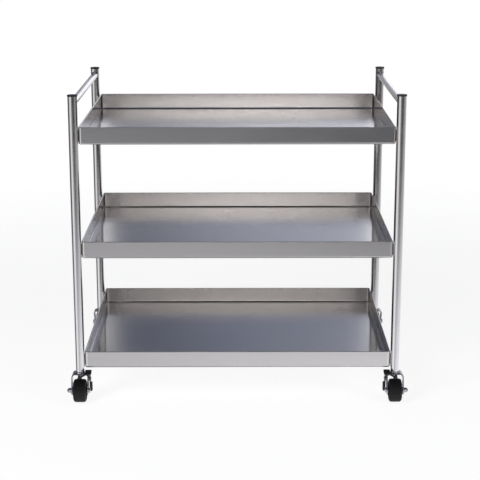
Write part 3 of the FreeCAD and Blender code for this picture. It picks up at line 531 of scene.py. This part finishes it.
def pale_floor():
    """White that gives off light, a little less of it near the trolley, and takes a shadow."""
    material, tree, output = new_material("pale studio floor")
    place = add(tree, "TexCoord").outputs["Object"]
    radius = add(tree, "VectorMath", {0: place}, operation="LENGTH").outputs["Value"]
    strength = add(tree, "MapRange", {
        "Value": radius, "From Min": NEAR_RADIUS, "From Max": FAR_RADIUS,
        "To Min": NEAR_GLOW, "To Max": FAR_GLOW,
    }, interpolation_type="SMOOTHSTEP")
    glow = add(tree, "Emission", {"Color": linear(FLOOR_WHITE), "Strength": strength})
    matt = add(tree, "BsdfDiffuse", {"Color": linear(FLOOR_MATT)})
    both = add(tree, "AddShader", {0: glow, 1: matt})
    tree.links.new(both.outputs[0], output.inputs["Surface"])
    return material


shape = bmesh.new()
bmesh.ops.create_grid(shape, x_segments=1, y_segments=1, size=FLOOR_SIZE / 2)
floor_mesh = bpy.data.meshes.new("studio_floor")
shape.to_mesh(floor_mesh)
shape.free()
floor = bpy.data.objects.new("studio_floor", floor_mesh)
bpy.context.scene.collection.objects.link(floor)
floor.data.materials.append(pale_floor())
floor.visible_glossy = False
print("floor", FLOOR_SIZE, "m square")

# %% [markdown]
# Polished steel has next to no colour of its own: what it shows is the room. The room is
# therefore painted into the world by direction, while the camera itself sees plain white.
#
# Each list below goes one of two ways. Some go once round the trolley, by degrees from the
# camera's side towards +X. Others go up by height, which is measured on a sphere of radius
# 1: -1 is straight down, 0 is the horizon and 1 is straight up. A colour ramp turns a list
# into a shader node, and a list of each kind, multiplied, gives the share of one region.

# %% Ramps by direction
def ramp(tree, value, low, high, stops):
    """A colour ramp over a value that runs from low to high."""
    place = add(tree, "MapRange", {"Value": value, "From Min": low, "From Max": high})
    node = add(tree, "ValToRGB", {0: place})
    elements = node.color_ramp.elements
    while len(elements) < len(stops):
        elements.new(0.5)
    for element, (position, stop) in zip(elements, stops):
        element.position = (position - low) / (high - low)
        element.color = linear(stop) if isinstance(stop, str) else (stop, stop, stop, 1.0)
    return node


def round_ramp(tree, degrees, stops):
    """A ramp once round the trolley."""
    return ramp(tree, degrees, -180, 180, stops)


def rise_ramp(tree, height, stops):
    """A ramp from the horizon to straight up."""
    return ramp(tree, height, 0.0, 1.0, stops)


def region(tree, degrees, height, shows, rise):
    """The share of a region above the horizon, from its list round and its list up."""
    across = round_ramp(tree, degrees, shows)
    return math_node(tree, "MULTIPLY", across, rise_ramp(tree, height, rise))


print("ramps ready")

# %% [markdown]
# The lower half is what the posts and the trays' front lips show, because the camera looks
# down on them. Seen from above, a ramp runs once round the trolley: a tall softbox stands
# at the front left, the dark of the studio lies behind the camera and at the far left, and
# the right side brightens towards the white backdrop.
#
# The floor is bright near the trolley and darker further out, except at the far left, where
# it stays dark. Near the camera the edge of its bright part slants, from higher at one side
# to lower at the other. Where it is bright it shines beyond white.

# %% Lower half of the room
LOWER_ROOM = [
    (-180, "#eceae9"), (-175, "#bcbcbe"), (-168, "#a0a0a4"), (-150, "#929296"),
    (-112, "#5e5e60"), (-92, "#525254"), (-74, "#cacacc"), (-60, "#ffffff"),
    (-34, "#ffffff"), (-20, "#84868c"), (-8, "#7a7c82"), (5, "#42444a"), (11, "#1a1b1f"),
    (34, "#1c1c1f"), (60, "#908e8e"), (85, "#b4b2b2"), (120, "#dad8d8"), (160, "#f8f6f5"),
    (175, "#f8f6f5"), (180, "#eceae9"),
]
FLOOR_SHOWS = [
    (-180, 1.0), (-125, 0.6), (-105, 0.0), (-85, 0.0), (-70, 0.8), (-8, 0.54), (0, 0.79),
    (8, 1.0), (180, 1.0),
]
FLOOR_RISE = [
    (-1.0, 0.3), (-0.6, 0.5), (-0.48, 1.0), (-0.36, 1.0), (-0.31, 1.0), (-0.28, 0.68),
    (-0.24, 0.27), (-0.20, 0.06), (-0.16, 0.0), (0.0, 0.0),
]
# NO_SLANT leaves the bright part's edge at the heights listed above
NO_SLANT = 0.5
FLOOR_SLANT = [
    (-180, NO_SLANT), (-25, NO_SLANT), (-9, 0.0), (9, 1.0), (25, NO_SLANT), (180, NO_SLANT),
]
SLANT_HEIGHT = 0.07
BRIGHT_FLOOR, FLOOR_GLOW = "#f8faff", 1.38


def beyond_white(tree, share, glow):
    """What a region that shines beyond white adds to the room's strength."""
    return math_node(tree, "MULTIPLY", share, glow - 1.0)


def lower_room(tree, degrees, height):
    """The colour below the horizon, and what its bright floor adds to the strength."""
    slant = math_node(tree, "SUBTRACT", round_ramp(tree, degrees, FLOOR_SLANT), NO_SLANT)
    shift = math_node(tree, "MULTIPLY", slant, SLANT_HEIGHT)
    slanted = math_node(tree, "ADD", height, shift)
    rise = ramp(tree, slanted, -1.0, 0.0, FLOOR_RISE)
    bright_floor = math_node(tree, "MULTIPLY", round_ramp(tree, degrees, FLOOR_SHOWS), rise)
    around = round_ramp(tree, degrees, LOWER_ROOM)
    colour = blend_colours(tree, bright_floor, around, BRIGHT_FLOOR)
    return colour, beyond_white(tree, bright_floor, FLOOR_GLOW)


print("lower half:", len(LOWER_ROOM), "stops once round")

# %% [markdown]
# The upper half is what the floors of the trays show, and their rear walls by way of the
# floors. A softbox stands above the camera with a tall bank of light on either side, whose
# images in the rear posts and corners draw bright upright streaks. Both sides are dark,
# which draws a dark line into every upright corner. The backdrop behind is brightest just
# above the horizon, turns from a warm to a cool white with height, and falls off to a dim,
# slightly blue ceiling.
#
# Two slim strip lights stand behind the rear corners, and their images run along the floors
# beside the side walls. They are less than a degree wide. A colour ramp keeps 256 values
# for the full turn, too few for them, so they are drawn by their distance from an angle.

# %% Upper half of the room
UPPER_ROOM = [
    (-180, "#666c80"), (-174, "#3f4456"), (-168, "#282c3a"), (-150, "#20242f"),
    (-120, "#2c2c2e"), (120, "#2c2c2e"), (150, "#7a7f8c"), (165, "#8f95a6"),
    (174, "#7c8294"), (180, "#666c80"),
]
CEILING, CEILING_STARTS, CEILING_FULL = "#50545f", 0.35, 0.7

BACKDROP_SHOWS = [
    (-180, 0.78), (-175, 0.37), (-168, 0.26), (-160, 0.22), (-140, 0.1), (-110, 0.0),
    (110, 0.0), (140, 0.2), (160, 0.9), (173, 1.0), (176, 0.96), (180, 0.78),
]
BACKDROP_RISE = [
    (0.0, 1.0), (0.155, 1.0), (0.175, 0.8), (0.20, 0.48), (0.25, 0.21), (0.30, 0.08),
    (0.34, 0.0),
]
BACKDROP = [
    (0.0, "#fbf9f8"), (0.15, "#f6f7fc"), (0.18, "#eaf0fc"), (0.25, "#dce4f8"),
    (0.34, "#c8d4f2"),
]
SOFTBOX_SHOWS = [
    (-14, 0.0), (-9, 0.5), (-5, 0.5), (-2, 1.0), (3, 1.0), (6, 0.5), (9, 0.5), (14, 0.0),
]
SOFTBOX_RISE = [
    (0.08, 0.0), (0.12, 1.0), (0.175, 1.0), (0.25, 0.17), (0.33, 0.09), (0.60, 0.0),
]
BANK_SHOWS = [
    (-62, 0.0), (-50, 0.7), (-24, 0.7), (-14, 0.0), (14, 0.0), (24, 0.7), (50, 0.7), (62, 0.0),
]
BANK_RISE = [(0.08, 0.0), (0.14, 1.0), (0.55, 1.0), (0.70, 0.0)]
STRIP_ANGLE, STRIP_HALF_WIDTH = 174.2, 0.42
STRIP_RISE = [(0.10, 0.0), (0.14, 1.0), (0.22, 0.9), (0.34, 0.7), (0.45, 0.0)]
LIGHT_WHITE = "#ffffff"
BACKDROP_GLOW, SOFTBOX_GLOW, STRIP_GLOW = 1.58, 3.3, 2.3
print("upper half:", len(UPPER_ROOM), "stops once round, and four kinds of light")

# %% [markdown]
# These regions are laid over the plain upper half in turn: first the ceiling and the
# backdrop, then the banks, the softbox and the strips, each white where its share is 1. The
# backdrop, the softbox and the strips also shine beyond white.

# %% Blend the upper half
def strip_lights(tree, degrees, height):
    """The share of the two strip lights, one on either side of straight behind."""
    from_strip = math_node(
        tree, "SUBTRACT", math_node(tree, "ABSOLUTE", degrees), STRIP_ANGLE)
    across = add(tree, "MapRange", {
        "Value": math_node(tree, "ABSOLUTE", from_strip),
        "From Min": 0.0, "From Max": STRIP_HALF_WIDTH, "To Min": 1.0, "To Max": 0.0,
    })
    return math_node(tree, "MULTIPLY", across, rise_ramp(tree, height, STRIP_RISE))


def upper_room(tree, degrees, height):
    """The colour above the horizon, and what its lights add to the strength."""
    overhead = add(tree, "MapRange", {
        "Value": height, "From Min": CEILING_STARTS, "From Max": CEILING_FULL,
    })
    backdrop = region(tree, degrees, height, BACKDROP_SHOWS, BACKDROP_RISE)
    softbox = region(tree, degrees, height, SOFTBOX_SHOWS, SOFTBOX_RISE)
    bank = region(tree, degrees, height, BANK_SHOWS, BANK_RISE)
    strip = strip_lights(tree, degrees, height)

    colour = blend_colours(tree, overhead, round_ramp(tree, degrees, UPPER_ROOM), CEILING)
    colour = blend_colours(tree, backdrop, colour, rise_ramp(tree, height, BACKDROP))
    for light in (bank, softbox, strip):
        colour = blend_colours(tree, light, colour, LIGHT_WHITE)

    glow = beyond_white(tree, softbox, SOFTBOX_GLOW)
    glow = math_node(tree, "ADD", glow, beyond_white(tree, backdrop, BACKDROP_GLOW))
    glow = math_node(tree, "ADD", glow, beyond_white(tree, strip, STRIP_GLOW))
    return colour, glow


print("upper half ready")

# %% [markdown]
# The last step turns each direction into degrees and height, joins the two halves softly at
# the horizon, and lets the camera see plain white instead of the room.

# %% World
HORIZON_STARTS, HORIZON_ENDS = -0.02, 0.03
CAMERA_WHITE = "#ffffff"


def paint_room():
    """Makes the world and gives back its tree of shader nodes."""
    world = bpy.data.worlds.new("studio")
    bpy.context.scene.world = world
    world.use_nodes = True
    tree = world.node_tree
    tree.nodes.clear()
    output = tree.nodes.new("ShaderNodeOutputWorld")
    direction = add(tree, "SeparateXYZ", {0: add(tree, "TexCoord").outputs["Generated"]})
    forward = math_node(tree, "MULTIPLY", direction.outputs["Y"], -1.0)
    angle = math_node(tree, "ARCTAN2", direction.outputs["X"], forward)
    degrees = math_node(tree, "MULTIPLY", angle, math.degrees(1))
    height = direction.outputs["Z"]

    lower, floor_glow = lower_room(tree, degrees, height)
    upper, light_glow = upper_room(tree, degrees, height)
    horizon = add(tree, "MapRange", {
        "Value": height, "From Min": HORIZON_STARTS, "From Max": HORIZON_ENDS,
    })
    above_horizon = math_node(tree, "MULTIPLY", light_glow, horizon)
    glow = math_node(tree, "ADD", above_horizon, floor_glow)
    room = add(tree, "Background", {
        "Color": blend_colours(tree, horizon, lower, upper),
        "Strength": math_node(tree, "ADD", glow, 1.0),
    })
    white = add(tree, "Background", {"Color": linear(CAMERA_WHITE), "Strength": 1.0})
    seen = add(tree, "LightPath").outputs["Is Camera Ray"]
    mixed = add(tree, "MixShader", {0: seen, 1: room, 2: white})
    tree.links.new(mixed.outputs[0], output.inputs["Surface"])
    return tree


print("room painted with", len(paint_room().nodes), "shader nodes")

# %% [markdown]
# Two area lights add direction and cast the shadow. One stands where the room has its tall
# softbox, and a weaker one lights the castors and the shadow side from the right. Neither
# shows in reflections, because the painted room has their images already.

# %% Lights
LIGHTS_AIM = (0, 0, 0.4)


def area_light(name, place, width, height, power):
    """A light at a place, turned to the trolley; sizes in metres and power in watts."""
    lamp = bpy.data.lights.new(name, "AREA")
    lamp.shape = "RECTANGLE"
    lamp.size, lamp.size_y = width, height
    lamp.energy = power
    item = bpy.data.objects.new(name, lamp)
    bpy.context.scene.collection.objects.link(item)
    aim = Vector(LIGHTS_AIM) - Vector(place)
    turn = aim.to_track_quat("-Z", "Y").to_matrix().to_4x4()
    item.matrix_world = Matrix.Translation(place) @ turn
    item.visible_glossy = False
    print(name, power, "watts")


area_light("softbox_left", (-2.2, -2.6, 2.0), 1.2, 2.0, 60)
area_light("softbox_right", (2.6, -1.8, 1.6), 1.2, 1.6, 25)

# %% [markdown]
# The camera stands at eye height about four metres in front and looks down by fourteen
# degrees through a long lens, which keeps the posts nearly upright. Its values come from
# fitting the posts, trays and wheels to the picture that the trolley was built from.

# %% Camera
CAMERA_PLACE = (7.32 * MM, -3966.1 * MM, 1373.6 * MM)
CAMERA_PITCH = math.radians(14.0247)
CAMERA_ROLL = math.radians(-0.074)
FOCAL_LENGTH, SENSOR_WIDTH = 104.232, 36.0
FURTHEST_SEEN = 100.0

camera_data = bpy.data.cameras.new("camera")
camera_data.sensor_width = SENSOR_WIDTH
camera_data.lens = FOCAL_LENGTH
camera_data.clip_end = FURTHEST_SEEN
camera = bpy.data.objects.new("camera", camera_data)
bpy.context.scene.collection.objects.link(camera)
tilt = Matrix.Rotation(math.pi / 2 - CAMERA_PITCH, 4, "X")
camera.matrix_world = Matrix.Translation(CAMERA_PLACE) @ tilt @ Matrix.Rotation(CAMERA_ROLL, 4, "Z")
bpy.context.scene.camera = camera
bpy.context.scene.view_settings.view_transform = "Standard"
print("camera", round(-CAMERA_PLACE[1], 2), "m in front of the trolley's middle")
